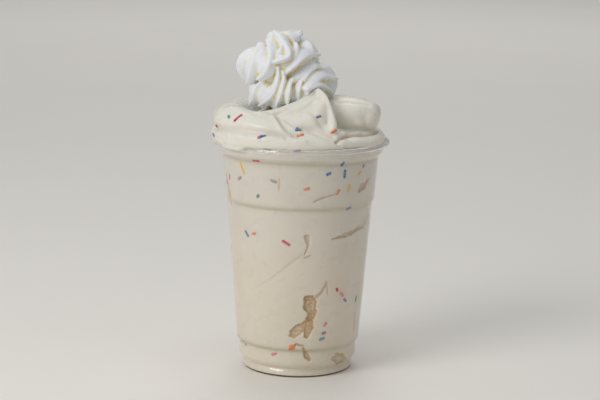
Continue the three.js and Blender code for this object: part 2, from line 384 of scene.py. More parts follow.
# Painted brown shade in the air pools at the wall and in the creases of the heap.
HOLLOW_PAINTED_SHADE_TAN = linear(188, 149, 88)
CREAM_WHITE = linear(238, 240, 244)
# Painted yellow shade in the cream's valleys.
CREAM_VALLEY_PAINTED_SHADE = linear(238, 224, 158)


# Heights in metres between which the shake takes on its upper tone; on the wall this is painted shade, darker
# and cooler towards the top
TONE_LOW = 0.05
TONE_HIGH = 0.125


def shake_finish(name="milkshake", pale=IVORY, deep=IVORY_DEEP, upper=IVORY):
    """Thick ivory milkshake: mottled, moist, with fine bubbles, and with painted brown shade in its hollows.

    Its tone changes with height, which on the wall is painted shade, darker and cooler towards the top, and
    painted olive shade lies along the wall's ledges.
    """
    finish = Finish(name)
    shader = finish.shader(Subsurface_Weight=0.35, Subsurface_Scale=0.004, IOR=1.42)
    shader.inputs["Subsurface Radius"].default_value = (1.0, 0.78, 0.52)
    mottled = finish.blend(finish.ramp(finish.noise(45), 0.35, 0.68, 0, 1), pale, deep)
    places = finish.node("ShaderNodeSeparateXYZ")
    finish.link(finish.place, places.inputs["Vector"])
    # Towards the top the colour turns to the upper one, which on the wall's copy is painted shade.
    high = finish.ramp(places.outputs["Z"], TONE_LOW, TONE_HIGH, 0, 0.9)
    shaded = finish.blend(high, mottled, upper)
    # Painted olive shade along the wall's steps.
    stepped = finish.blend(finish.attribute("painted_ledge_shade"), shaded, LEDGE_PAINTED_SHADE_OLIVE)
    # Painted brown shade in the hollows.
    coloured = finish.blend(finish.attribute("hollow"), stepped, HOLLOW_PAINTED_SHADE_TAN)
    finish.link(coloured, shader.inputs["Base Color"])
    finish.link(finish.ramp(finish.noise(150), 0.3, 0.7, 0.22, 0.4), shader.inputs["Roughness"])
    bubbles = finish.ramp(finish.cells(1400), 0.0, 0.28, 0, 1)
    grain = finish.bump(finish.noise(420, detail=4), 0.0004, 0.25)
    finish.link(finish.bump(bubbles, 0.0002, 0.18, grain), shader.inputs["Normal"])
    return finish.done(shader.outputs["BSDF"])


def cream_finish():
    """Whipped cream: satin white, with painted yellow shade in the valleys between its ridges."""
    finish = Finish("whipped_cream")
    shader = finish.shader(Subsurface_Weight=0.4, Subsurface_Scale=0.004, IOR=1.4)
    shader.inputs["Subsurface Radius"].default_value = (1.0, 0.85, 0.6)
    # Painted yellow shade in the valleys.
    coloured = finish.blend(finish.attribute("painted_valley_shade"), CREAM_WHITE, CREAM_VALLEY_PAINTED_SHADE)
    finish.link(coloured, shader.inputs["Base Color"])
    finish.link(finish.ramp(finish.noise(160), 0.3, 0.7, 0.42, 0.58), shader.inputs["Roughness"])
    grain = finish.bump(finish.noise(900, detail=4), 0.0003, 0.25)
    finish.link(grain, shader.inputs["Normal"])
    return finish.done(shader.outputs["BSDF"])


def clear_plastic_finish():
    """Thin clear plastic that lets lamps through, with faint flow marks from its forming."""
    finish = Finish("clear_plastic")
    shader = finish.shader(Base_Color=(1, 1, 1, 1), Transmission_Weight=1.0, IOR=1.5)
    finish.link(finish.ramp(finish.noise(60), 0.3, 0.7, 0.02, 0.07), shader.inputs["Roughness"])
    finish.link(finish.bump(finish.noise(45, detail=1), 0.0006, 0.12), shader.inputs["Normal"])
    clear = finish.node("ShaderNodeBsdfTransparent").outputs["BSDF"]
    path = finish.node("ShaderNodeLightPath")
    surface = shader.outputs["BSDF"]
    for ray in ("Is Shadow Ray", "Is Diffuse Ray"):
        mixed = finish.node("ShaderNodeMixShader")
        finish.link(path.outputs[ray], mixed.inputs["Fac"])
        finish.link(surface, mixed.inputs[1])
        finish.link(clear, mixed.inputs[2])
        surface = mixed.outputs["Shader"]
    return finish.done(surface)


def sprinkle_finish(name, colour):
    """Sugar sprinkle: softly glossy, a little uneven in colour where it has bled."""
    finish = Finish(name)
    shader = finish.shader(IOR=1.45, Subsurface_Weight=0.1, Subsurface_Scale=0.001)
    pale = tuple(lerp(part, 0.75, 0.35) for part in colour[:3]) + (1.0,)
    coloured = finish.blend(finish.ramp(finish.noise(500), 0.4, 0.75, 0, 1), colour, pale)
    finish.link(coloured, shader.inputs["Base Color"])
    finish.link(finish.ramp(finish.noise(700), 0.3, 0.7, 0.3, 0.5), shader.inputs["Roughness"])
    finish.link(finish.bump(finish.noise(1500), 0.0002, 0.3), shader.inputs["Normal"])
    return finish.done(shader.outputs["BSDF"])


def floor_finish():
    finish = Finish("pale_floor")
    shader = finish.shader(Roughness=0.6)
    coloured = finish.blend(finish.noise(3), linear(245, 242, 236), linear(241, 237, 230))
    finish.link(coloured, shader.inputs["Base Color"])
    return finish.done(shader.outputs["BSDF"])


# The cup


def wall_line(inset):
    """The wall's line from the foot to the top of the collar, moved inwards by an inset."""
    line = [
        (FOOT_RADIUS, GROOVE - STEP_RISE),
        (GROOVE_RADIUS, GROOVE),
        *arc(BASE_BAND_RADIUS - BASE_CURVE, BASE_CURVE_CENTRE, BASE_CURVE, -50, 0, 8),
        (BASE_BAND_RADIUS, BASE_STEP - STEP_RISE),
        (WALL_FOOT_RADIUS, BASE_STEP),
        (BELOW_SHOULDER_RADIUS, SHOULDER - STEP_RISE),
        (SHOULDER_RADIUS, SHOULDER),
        (BELOW_COLLAR_RADIUS, COLLAR_FOOT - STEP_RISE / 2),
        (COLLAR_FOOT_RADIUS, COLLAR_FOOT),
        (COLLAR_RADIUS, COLLAR_BEND),
        (COLLAR_TOP_RADIUS, COLLAR_TOP),
    ]
    return [(radius - inset, height) for radius, height in line]


def wall_radius(height, inset):
    """The wall's radius at a height."""
    line = wall_line(inset)
    for (r0, z0), (r1, z1) in zip(line, line[1:]):
        if z0 <= height <= z1 and z1 > z0:
            return lerp(r0, r1, (height - z0) / (z1 - z0))
    return line[0][0] if height < line[0][1] else line[-1][0]


def roll_hollow(bm):
    """The air inside the rolled rim, whose faces look into it."""
    shell = bmesh.new()
    ring = arc(*BEAD_CENTRE, BEAD_RADIUS - ROLL_WALL, 0, 360, 24)
    spun(shell, ring, CUP_STEPS)
    bmesh.ops.reverse_faces(shell, faces=shell.faces)
    joined(bm, shell)


def clear_cup(finish):
    ring_inside = FOOT_RADIUS - FOOT_RING_WIDTH
    underside = FLOOR_HEIGHT - WALL
    outside = [
        (0, underside),
        (ring_inside - FOOT_EDGE, underside),
        (ring_inside - FOOT_EDGE, FOOT_EDGE),
        (ring_inside, 0),
        (FOOT_RADIUS - FOOT_EDGE, 0),
        (FOOT_RADIUS, FOOT_EDGE),
        *wall_line(0),
    ]
    inside = [
        *reversed(wall_line(WALL)),
        (FOOT_RADIUS - WALL, FOOT_EDGE + WALL),
        (ring_inside, FOOT_EDGE + WALL),
        (ring_inside, FLOOR_HEIGHT),
        (0, FLOOR_HEIGHT),
    ]
    bead = arc(*BEAD_CENTRE, BEAD_RADIUS, -135, 135, 20)
    bm = bmesh.new()
    spun(bm, rounded(outside, CORNER_ROUNDING) + bead + rounded(inside, CORNER_ROUNDING), CUP_STEPS)
    roll_hollow(bm)
    return finished("clear_cup", bm, finish, "cup")


# The milkshake inside the cup

# Air that the thick shake leaves against the wall: depth, share of painted brown shade,
# and a chain of places of degrees, height and half width.
AIR_POOLS = [
    (1.5, 1.0, [(-83, 46, 1.4), (-79, 44.8, 3.0), (-79.6, 41.5, 3.7), (-77.6, 38.4, 3.0),
                (-78.6, 35.2, 2.4)]),
    (1.2, 0.9, [(-78.6, 34.4, 1.8), (-79.6, 31, 2.6), (-80.2, 28.2, 2.8), (-81.6, 24.6, 1.4)]),
    (1.0, 0.8, [(-82, 31.4, 2.2), (-86.4, 29.6, 2.6), (-90.5, 27.6, 2.9), (-93.5, 26.4, 2.5),
                (-96.4, 25.2, 1.0)]),
    (0.6, 0.5, [(-66, 54.4, 0.9), (-67.4, 51.8, 1.1), (-69, 49.6, 0.8), (-74.3, 46.7, 0.9)]),
    (0.5, 0.35, [(-66, 54.6, 0.9), (-64.5, 51.5, 0.9), (-64, 48.6, 0.5)]),
    (0.7, 0.8, [(-91.5, 20, 0.4), (-88, 19.6, 0.6), (-84.4, 19.2, 0.5)]),
    (1.0, 0.8, [(-84.4, 18, 0.5), (-82.4, 15.4, 1.1), (-80.4, 13, 1.4), (-78, 10.8, 0.9)]),
    (1.4, 0.75, [(-52, 10.2, 1.2), (-47, 9.6, 2.6), (-42, 8.8, 3.0), (-36, 7.8, 2.2)]),
    (1.1, 0.5, [(-63.4, 79, 0.3), (-56, 79.8, 0.8), (-50, 80.6, 1.2), (-42, 81.6, 1.2), (-34, 83.4, 1.3),
                (-28, 85.2, 2.4), (-22, 88, 3.4), (-16, 92, 3.6)]),
    (1.3, 0.7, [(-26.5, 110.4, 0.4), (-30.5, 108.6, 1.3), (-34.5, 107, 2.3), (-38, 105.4, 1.8),
                (-40.4, 104.4, 0.6)]),
    (0.8, 0.45, [(-83.6, 80.6, 1.5), (-83, 78.2, 1.2), (-82.6, 75.6, 0.7), (-84, 72.8, 0.5),
                 (-85.4, 70.4, 0.3)]),
    (0.6, 0.5, [(-85.6, 69, 0.3), (-83, 69.6, 0.6), (-80.6, 70.2, 0.3)]),
    (0.5, 0.55, [(-80, 100, 0.3), (-76, 101.6, 0.55), (-70, 103, 0.5), (-63, 104, 0.3)]),
    (0.5, 0.4, [(-105.2, 112.4, 0.4), (-105.2, 109.4, 0.65), (-105.5, 106, 0.3)]),
    (0.22, 0.2, [(-86.4, 71.2, 0.3), (-93, 68, 0.8), (-101, 63.4, 0.6), (-112, 57.4, 0.3), (-124, 52, 0.15),
                 (-137, 47.6, 0.1)]),
    (0.5, 0.4, [(-27.4, 34, 0.3), (-26.5, 28.4, 0.7), (-25.4, 22.6, 0.4)]),
]
HIDDEN_POOLS = 9
HIDDEN_FROM = -10
HIDDEN_TURN = 215
POOL_PLACES = 6
POOL_EDGE = 1.0
POOL_WARP = 0.55
POOL_SPREAD = 0.35
COARSE_WARP = 0.3
FINE_WARP = 0.8
FINE_WARP_SHARE = 0.35
SPECKLE_SCALE = 0.9
SPECKLE_SHIFT = Vector((7, 3, 5))
POOL_MARGIN = 0.8
STEP_SHADE = 0.7


def hidden_pools():
    """More of the same on the sides that the usual view doesn't show."""
    draw = random.Random(SEED)
    pools = []
    for index in range(HIDDEN_POOLS):
        degrees = HIDDEN_FROM + HIDDEN_TURN * (index + draw.uniform(0.2, 0.8)) / HIDDEN_POOLS
        height = draw.uniform(BASE_STEP - 1, 112)
        heading = draw.uniform(0, 2 * math.pi)
        widest = draw.uniform(0.5, 2.0)
        chain = []
        for step in range(POOL_PLACES):
            width = widest * math.sin(math.pi * (step + 0.6) / (POOL_PLACES + 0.2))
            chain.append((degrees, height, width))
            heading += draw.uniform(-0.5, 0.5)
            degrees += 6 * math.cos(heading)
            height = min(max(height + 3.6 * math.sin(heading), 8), 118)
        pools.append((0.5 + 0.45 * widest, 0.3 + 0.3 * widest, chain))
    return pools


def pool_marks(points, pools):
    """For points on the wall: the depth of air over each, its share of painted brown shade, and how near a
    pool is.
    """
    turns = np.arctan2(points[:, 1], points[:, 0])
    radii = np.hypot(points[:, 0], points[:, 1])
    warp = np.array([
        noise.noise(Vector(point) * COARSE_WARP) + FINE_WARP_SHARE * noise.noise(Vector(point) * FINE_WARP)
        for point in points
    ])
    speckle = np.array([noise.noise(Vector(point) * SPECKLE_SCALE + SPECKLE_SHIFT) for point in points])
    depth = np.zeros(len(points))
    painted_shade = np.zeros(len(points))
    nearest = np.full(len(points), np.inf)
    for deepest, painted_shade_share, chain in pools:
        apart = np.full(len(points), np.inf)
        for (degrees, height, width), (next_degrees, next_height, next_width) in zip(chain, chain[1:]):
            turn = (turns - math.radians(degrees) + math.pi) % (2 * math.pi) - math.pi
            across = turn * radii
            up = points[:, 2] - height
            run = math.radians(next_degrees - degrees) * radii
            rise = next_height - height
            along = np.clip((across * run + up * rise) / (run * run + rise * rise), 0, 1)
            local_width = width + (next_width - width) * along
            gap = np.hypot(across - run * along, up - rise * along)
            uneven = POOL_WARP * warp * np.minimum(local_width, 2)
            apart = np.minimum(apart, gap - local_width - POOL_SPREAD - uneven)
        share = np.clip(-apart / POOL_EDGE, 0, 1)
        share = share * share * (3 - 2 * share)
        depth = np.maximum(depth, deepest * share * (1 + 0.3 * warp))
        inner = np.clip(-apart / POOL_EDGE - 1, 0, 1)
        # Painted brown shade over the pool, paler in speckles inside it.
        paler = inner * np.clip(0.35 - 0.8 * speckle, 0, 0.7)
        painted_shade = np.maximum(painted_shade, painted_shade_share * np.clip(1.6 * share, 0, 1) * (1 - paler))
        nearest = np.minimum(nearest, apart)
    return depth, painted_shade, nearest


def shake_fill(finish):
    """The shake below the rim. It reaches just into the wall, so that no air shows between them."""
    inset = WALL / 2
    ring_inside = FOOT_RADIUS - FOOT_RING_WIDTH
    outline = [
        (0, FLOOR_HEIGHT - inset),
        (ring_inside - inset, FLOOR_HEIGHT - inset),
        (ring_inside - inset, FOOT_EDGE + inset),
        (FOOT_RADIUS - inset, FOOT_EDGE + inset),
        *wall_line(inset),
        (COLLAR_TOP_RADIUS - inset, FILL_TOP),
        (0, FILL_TOP),
    ]
    bm = bmesh.new()
    spun(bm, evenly(rounded(outline, CORNER_ROUNDING), FILL_SPACING), FILL_STEPS)
    pools = AIR_POOLS + hidden_pools()
    at_wall = [face for face in bm.faces if abs(face.normal.z) < 0.8]
    middles = np.array([face.calc_center_median() for face in at_wall])
    _, _, nearest = pool_marks(middles, pools)
    edges = {edge for face, gap in zip(at_wall, nearest) if gap < POOL_MARGIN for edge in face.edges}
    bmesh.ops.subdivide_edges(bm, edges=list(edges), cuts=2, use_grid_fill=True)
    # Layers for painted brown shade in the air pools and painted olive shade along the wall's steps.
    for name in ("hollow", "painted_ledge_shade"):
        bm.verts.layers.float.new(name)
    hollow = bm.verts.layers.float["hollow"]
    painted_ledge_shade = bm.verts.layers.float["painted_ledge_shade"]
    bm.normal_update()
    verts = [vert for vert in bm.verts if abs(vert.normal.z) < 0.8]
    depth, painted_shade, _ = pool_marks(np.array([vert.co for vert in verts]), pools)
    for vert, deep, painted_shade_share in zip(verts, depth, painted_shade):
        # Painted shade along each step of the wall, fading away above and below it.
        for level in (BASE_STEP, SHOULDER, COLLAR_FOOT):
            away = (vert.co.z - level + STEP_RISE / 2) / STEP_RISE
            vert[painted_ledge_shade] = max(vert[painted_ledge_shade], STEP_SHADE * math.exp(-away * away))
        vert.co -= Vector((vert.co.x, vert.co.y, 0)).normalized() * deep
        # Painted brown shade in the air pool.
        vert[hollow] = painted_shade_share
    return finished("shake_fill", bm, finish, "shake")


# The heap of milkshake above the rim

# Folds that follow the rim: degrees, radius, height, half width, half height.
ROLL = [
    (40, 36, 132, 6, 4),
    (80, 36.5, 136, 11, 9),
    (120, 38, 138, 10.5, 9),
    (160, 38, 139.2, 10.4, 8.4),
    (195, 37.8, 139, 10.4, 8.4),
    (230, 36, 137.2, 10.5, 8),
    (258, 34, 135, 9, 6.5),
    (285, 33, 130, 7, 4),
]
LIP = [
    (110, 44.5, 130.6, 2, 1.6),
    (145, 44.6, 132, 4.4, 4),
    (180, 44.8, 131.4, 5, 5),
    (215, 44.8, 131.2, 5, 5),
    (236, 44.6, 131.4, 4.6, 4.6),
    (252, 44.4, 131.6, 4, 4),
    (270, 44, 130.8, 3.4, 3),
    (300, 43.6, 129.6, 2.4, 1.4),
]
SHELF = [
    (285, 40, 129.5, 3, 1.6),
    (320, 41, 129.8, 5.2, 3),
    (345, 41.6, 130, 5, 3.4),
    (375, 41.4, 130.6, 5.4, 3.8),
    (400, 40, 132, 6, 4),
]

# Folds that lie freely: x, y, height, half width, half height.
MOUND = [
    (-24, 4, 138, 12, 6),
    (-12, 3, 138, 22, 9.5),
    (2, 2, 138.5, 24, 10),
    (14, 0, 138, 14, 7),
]
DRAWN_UP_FOLD = [
    (-18, -20, 138, 4, 4),
    (-9, -26, 137.5, 9, 8),
    (4, -28, 138, 10, 9.5),
    (10, -22.5, 144, 7.5, 8.5),
    (9.4, -17, 151, 4.6, 6),
    (8.2, -16.6, 158.4, 0.9, 0.9),
]
SAIL_LEFT_EDGE = [
    (-20, -25, 144, 3, 2.6),
    (-12, -24, 146, 2.8, 2.4),
    (-4, -20.5, 149, 2.4, 2.2),
    (1.5, -18.5, 152, 2.0, 2.0),
    (8, -17, 158, 0.8, 0.8),
]
SAIL_RIGHT_EDGE = [
    (8.2, -17.2, 158.2, 0.8, 0.8),
    (12.4, -21, 154, 1.5, 1.7),
    (14.8, -26, 148.6, 1.7, 2.0),
    (16.4, -30.5, 143.6, 1.9, 2.2),
    (17, -34.2, 140, 2.2, 2.2),
    (16.6, -36, 136, 2.4, 2.4),
]
SAIL_FACE = [
    (-12, -21, 142, 5, 4),
    (-4, -21, 145, 6, 5),
    (3, -19.6, 148, 5, 5),
    (8, -17.6, 152, 3.4, 4),
    (8.4, -17, 157, 0.8, 1),
]
FIRST_FRONT_FOLD = [
    (-16, -21, 145, 2.4, 2.2),
    (-10, -24, 144.6, 3.2, 2.8),
    (-3, -29.5, 141.4, 3.8, 3.2),
    (5.5, -34, 137.4, 4, 3.4),
    (13, -36.6, 134.8, 4, 3.4),
    (20, -37, 132.4, 3.4, 2.8),
    (27, -35, 130.4, 2.4, 1.6),
]
SECOND_FRONT_FOLD = [
    (-29, -22, 142.6, 3, 2.6),
    (-21, -27.5, 143, 4, 3.4),
    (-11, -34, 139.4, 4.4, 3.8),
    (0.5, -38.4, 134.8, 4.4, 3.6),
    (11, -40.4, 131.8, 3.6, 2.8),
    (19, -40, 130.4, 2.4, 1.4),
]
SKIRT = [
    (2, -30, 137, 7, 6),
    (13, -31, 134.5, 8, 6.4),
    (22, -30, 132, 6, 4),
    (28, -28, 130, 2, 1.5),
]
RIGHT_LOBE = [
    (2, 10, 140, 10, 7),
    (14, 6, 142, 16, 10),
    (26, -2, 142.4, 17.6, 10.2),
    (36, -6, 141.8, 12.6, 8.8),
    (39.8, -8, 141.2, 8.4, 6.8),
    (41.8, -8.8, 140.9, 4.4, 4),
    (42.4, -9, 140.8, 1.2, 1.2),
]
BACK_FOLD = [
    (30, 20, 138, 5, 4),
    (16, 29, 140, 11, 9),
    (-4, 30, 141, 11, 9),
    (-22, 22, 141, 8, 7),
]


FREE_FOLDS = (
    MOUND, DRAWN_UP_FOLD, SAIL_LEFT_EDGE, SAIL_FACE, SAIL_RIGHT_EDGE,
    FIRST_FRONT_FOLD, SECOND_FRONT_FOLD, SKIRT, RIGHT_LOBE, BACK_FOLD,
)


# Creases pressed into the folds and, with a depth below zero, edges drawn up from them:
# depth, half width, share of painted brown shade, and places of x, y, height.
CREASES = [
    (1.1, 1.9, 0.1, [(-47.3, -7.7, 134.7), (-39.4, -25.8, 137.1), (-31.6, -33.9, 138), (-24.5, -38.5, 137.7),
                     (-18.1, -41.5, 137), (-8.5, -43.6, 135.7)]),
    (-0.8, 1.6, 0, [(-38, -30, 133.6), (-29.8, -38, 133.4), (-19, -43, 133.8), (-9.6, -44.1, 134.6)]),
    (-0.9, 1.3, 0, [(-15.7, -32.1, 143.3), (-12.9, -37.7, 141.4), (-10.7, -40.8, 139.2), (-6.4, -43.2, 136.4),
                    (2.1, -45.4, 133.7)]),
    (1.0, 1.3, 0.1, [(-13, -32.4, 143.6), (-9.8, -38, 141.2), (-7.2, -41, 138.6), (-2.6, -43.2, 135.8)]),
    (1.0, 1.8, 0.12, [(0.9, -39, 139.7), (5.7, -38.8, 138.7), (11, -39.7, 137.3), (16.3, -39.9, 135.3)]),
    (1.5, 1.0, 0.4, [(18.6, -39.8, 132.2), (21.6, -37, 133.8), (24.6, -33, 135), (29, -28, 135.4),
                     (35, -22, 135), (40, -13, 134.6), (43, 0, 135)]),
    (-1.2, 1.6, 0, [(25, -33, 138.4), (31, -26, 139.2), (33.4, -16.7, 139.4)]),
    (0.8, 1.6, 0.1, [(4.5, -31.4, 148.4), (8.8, -35.6, 144.7), (12.5, -37.8, 140.3)]),
    (0.7, 1.5, 0.05, [(20, -12, 151), (28, -12, 150), (36, -10, 147)]),
    (1.0, 1.7, 0.1, [(-44, 12, 138), (-38, 26, 139), (-24, 38, 139), (-8, 42, 138)]),
    (0.9, 1.5, 0.1, [(30, 32, 138), (16, 40, 138), (2, 42, 136)]),
]


def fold(bm, places):
    """A soft fold of shake with an oval section."""
    path = smooth_path(places, FOLD_STEPS_PER_PLACE)
    centres = [Vector(place[:3]) for place in path]
    rings = []
    for index, (centre, place) in enumerate(zip(centres, path)):
        ahead = centres[min(index + 1, len(centres) - 1)] - centres[max(index - 1, 0)]
        ahead.normalize()
        across = Vector((0, 0, 1)).cross(ahead).normalized()
        up = ahead.cross(across)
        ring = []
        for side in range(FOLD_SIDES):
            angle = 2 * math.pi * side / FOLD_SIDES
            ring.append(centre + across * place[3] * math.cos(angle) + up * place[4] * math.sin(angle))
        rings.append(ring)
    tube(bm, rings)


def round_the_rim(places):
    turned = []
    for degrees, radius, height, width, rise in places:
        angle = math.radians(degrees)
        turned.append((radius * math.cos(angle), radius * math.sin(angle), height, width, rise))
    return turned


def dome(bm):
    """The low dome under the folds, with a plug that stands in the fill."""
    top = []
    for step in range(25):
        angle = math.pi / 2 * step / 24
        top.append((DOME_RADIUS * math.cos(angle), DOME_BASE + DOME_RISE * math.sin(angle)))
    plug = wall_radius(PLUG_BOTTOM, 1.5)
    spun(bm, [(0, PLUG_BOTTOM), (plug, PLUG_BOTTOM), (plug + 2, CUP_HEIGHT - BEAD_RADIUS)] + top, 96)


def clear_of_rim(bm):
    """Presses the shake against the bead of the rim instead of through it."""
    centre_radius, centre_height = BEAD_CENTRE
    for vert in bm.verts:
        radius = math.hypot(vert.co.x, vert.co.y)
        away = Vector((radius - centre_radius, vert.co.z - centre_height))
        if away.length < BEAD_RADIUS and radius > centre_radius - BEAD_RADIUS:
            away = away.normalized() * BEAD_RADIUS
            share = (centre_radius + away.x) / radius
            vert.co = (vert.co.x * share, vert.co.y * share, centre_height + away.y)


def away_from_line(points, line):
    """How far each point is from a line of places."""
    apart = np.full(len(points), np.inf)
    for start, end in zip(line, line[1:]):
        start = np.array(start)
        run = np.array(end) - start
        along = np.clip((points - start) @ run / (run @ run), 0, 1)
        apart = np.minimum(apart, np.linalg.norm(points - start - along[:, None] * run, axis=1))
    return apart


def press_creases(bm):
    """Presses the creases into the skin of the heap, and paints brown shade into them."""
    hollow = bm.verts.layers.float.new("hollow")
    bm.normal_update()
    surface = BVHTree.FromBMesh(bm)
    verts = list(bm.verts)
    points = np.array([vert.co for vert in verts])
    pressed = np.zeros(len(verts))
    for depth, width, painted_shade, places in CREASES:
        line = [place[:3] for place in smooth_path(places, 4)]
        line = [tuple(surface.find_nearest(Vector(place))[0]) for place in line]
        share = np.exp(-(away_from_line(points, line) / width) ** 2)
        pressed += depth * share
        for index in np.nonzero(share > 0.05)[0]:
            vert = verts[index]
            # Painted brown shade in the crease.
            vert[hollow] = max(vert[hollow], painted_shade * share[index])
    for vert, depth in zip(verts, pressed):
        vert.co -= vert.normal * depth


def shake_heap(finish):
    bm = bmesh.new()
    dome(bm)
    for places in (ROLL, LIP, SHELF):
        fold(bm, round_the_rim(places))
    for places in FREE_FOLDS:
        fold(bm, places)
    bm = fused(bm, HEAP_VOXEL)
    soften(bm, bm.verts, 3)
    bm.normal_update()
    for vert in bm.verts:
        if vert.co.z > CUP_HEIGHT:
            vert.co += vert.normal * SKIN_UNEVEN * noise.noise(vert.co * SKIN_SCALE)
    press_creases(bm)
    soften(bm, bm.verts, 1)
    clear_of_rim(bm)
    return finished("shake_heap", bm, finish, "shake")


# The whipped cream

# Stations of the rope from its start at the back up to its tip:
# turns, coil radius, height, x of the coil's centre, rope radius.
STATIONS = [
    (0, 13, 148.5, -6, 7.5),
    (0.33, 15, 152, -6, 9.8),
    (0.58, 15, 154.5, -6, 10),
    (0.83, 15, 159.5, -6, 10.4),
    (1.08, 14.5, 164, -8, 10.2),
    (1.33, 14, 168, -12, 10.6),
    (1.58, 12.5, 171, -12, 10),
    (1.83, 11.5, 174, -11.5, 9.6),
    (2.08, 7, 177.5, -10, 8),
    (2.33, 5, 180.5, -9.5, 7.5),
    (2.58, 3, 183, -9, 6),
    (2.85, 6, 187, -7, 2),
]

# What fills the middle of the coil: x, height, radius, half height.
CORES = [
    (-7.5, 156, 16, 14),
    (-9.5, 166, 16.5, 11),
    (-10.5, 174, 11, 9),
    (-9.5, 181, 6, 6.5),
]

# Petals on the front of the swirl, along their edges: x, y, height, half width, depth.
PETALS = [
    [
        (-13.2, -18.1, 170.1, 1.2, 3),
        (-12.8, -19.2, 165.2, 1.8, 4),
        (-13.9, -19.8, 159.7, 2.4, 4.5),
        (-16.6, -18.6, 154, 2.8, 4.5),
        (-20.6, -15.8, 150.2, 2.8, 4),
        (-24.6, -11.1, 147.2, 1.2, 3),
    ],
    [
        (-20.8, -1.5, 183.4, 2, 3),
        (-19.2, -9, 180.2, 4, 5),
        (-18.0, -16, 176, 5, 6),
        (-18.6, -19.6, 171, 5.4, 6),
        (-21.2, -18, 165.8, 4.2, 5),
        (-25.6, -12, 161.8, 1.6, 3),
    ],
    [
        (-25, -1, 181.4, 2, 3),
        (-26.4, -8, 177.4, 4, 5),
        (-28, -12, 171.6, 4.8, 6),
        (-29.6, -10.6, 165, 4, 5),
        (-31.4, -4, 158.2, 1.4, 2.5),
    ],
    [
        (-17.3, -1.4, 187.9, 1.6, 2.5),
        (-13.2, -6.4, 185.4, 3.8, 4),
        (-9.4, -11.4, 181.6, 4.4, 5),
        (-7, -15.4, 178.2, 3.8, 5),
        (-7.2, -18.4, 175.3, 2.4, 4),
        (-11.4, -20, 173.3, 2, 3.5),
        (-15.6, -20.3, 172.3, 1, 2.5),
    ],
    [
        (-11.9, -2, 187.7, 2, 3),
        (-6.4, -4.5, 186.6, 3, 4),
        (-1.8, -3.6, 185.5, 2.6, 3.5),
        (0.3, 0.9, 186.8, 0.8, 1.6),
    ],
    [
        (10.9, 0.5, 174.9, 1.2, 2.5),
        (5.2, -8.8, 175.3, 2.8, 4),
        (0.5, -14.7, 173.5, 3, 4.5),
        (-3.7, -18, 170.2, 2.8, 4.5),
        (-8.4, -19.3, 166.6, 1.4, 3),
    ],
    [
        (7.5, -6, 172.3, 1.2, 2.5),
        (3.5, -12, 168.4, 2.2, 4),
        (-0.1, -16, 164.7, 2.4, 4),
        (-4, -19, 162.1, 1.2, 3),
    ],
    [
        (15.5, -1.3, 168.7, 0.8, 1.6),
        (12.2, -4.6, 167.9, 2, 3.5),
        (8.7, -8.7, 169, 2.4, 4),
        (4.7, -13.6, 166.2, 2.6, 4.5),
        (1.6, -18.3, 162.6, 1.4, 3),
    ],
    [
        (20.5, 1.3, 161.8, 0.8, 1.6),
        (17.6, -4, 162.9, 2, 3.5),
        (13.1, -10, 163.8, 2.6, 4),
        (7.9, -16.6, 161.4, 2.8, 4.5),
        (3.4, -21.8, 157.8, 1.4, 3),
    ],
    [
        (18.6, -3, 153.8, 1, 2),
        (15.1, -11.1, 157.8, 2, 3.5),
        (10.4, -16.7, 159.7, 2.4, 4),
        (5.7, -19.8, 158.3, 2.4, 4),
        (2.6, -19.5, 154, 1.2, 2.5),
    ],
    [
        (-4.1, -17.7, 164.4, 1, 2.5),
        (-6, -21.3, 160.1, 2, 4),
        (-6.8, -22.9, 155, 2.4, 4.5),
        (-7.4, -20.5, 148.5, 1.2, 3),
    ],
    [
        (0.4, -18.7, 162.6, 1, 2.5),
        (-0.9, -20.7, 158, 1.8, 4),
        (-1.4, -19.7, 151.7, 1.2, 3),
    ],
    [
        (-24.8, -9.2, 159.2, 1, 2.5),
        (-26.4, -7.9, 155.3, 2, 4),
        (-28.2, -5.6, 149.9, 2.2, 4),
        (-29.9, -2.2, 146.4, 1.2, 3),
    ],
    [
        (-10.5, -18.4, 168.5, 1, 2.5),
        (-9.5, -20.1, 163.4, 2, 4),
        (-10.5, -21.5, 158.2, 2.2, 4.5),
        (-12.4, -21.5, 152.2, 2.2, 4.5),
        (-14.6, -19.1, 147.5, 1.2, 3),
    ],
]


def rope_reach(angle, ahead, front):
    """The section of a rope piped through a star: thin edges with wide valleys, steeper on one side."""
    turn = ROPE_RIDGES * angle / (2 * math.pi)
    share = turn % 1
    if share < VALLEY_PLACE:
        ridge = 1 - share / VALLEY_PLACE
    else:
        ridge = (share - VALLEY_PLACE) / (1 - VALLEY_PLACE)
    uneven = 1 + RIDGE_UNEVEN * noise.noise((ahead * 0.07, round(turn) % ROPE_RIDGES * 7.3, 0.5))
    low = 1 - uneven * ridge ** RIDGE_SHARPNESS
    return lerp(1 - RIDGE_DEPTH * low, FRONT_REACH - FRONT_RIDGE_DEPTH * low, front)


def petal(bm, places):
    """A petal of cream whose thin edge follows the places and leans to one side."""
    path = smooth_path(places, FOLD_STEPS_PER_PLACE)
    edges = [Vector(place[:3]) for place in path]
    rings = []
    for index, (edge, place) in enumerate(zip(edges, path)):
        width, depth = place[3:]
        ahead = edges[min(index + 1, len(edges) - 1)] - edges[max(index - 1, 0)]
        ahead.normalize()
        outwards = Vector((edge.x - CREAM_MIDDLE, edge.y - CREAM_DEPTH, PETAL_LIFT)).normalized()
        outwards = (outwards - ahead * outwards.dot(ahead)).normalized()
        across = ahead.cross(outwards)
        ring = []
        for side in range(PETAL_SIDES):
            angle = 2 * math.pi * side / PETAL_SIDES
            out = math.sin(angle)
            wide = math.cos(angle) * (1 - PETAL_POINT * max(out, 0)) - PETAL_LEAN * (out - 1)
            ring.append(edge + outwards * depth * (out - 1) + across * width * wide)
        rings.append(ring)
    tube(bm, rings)


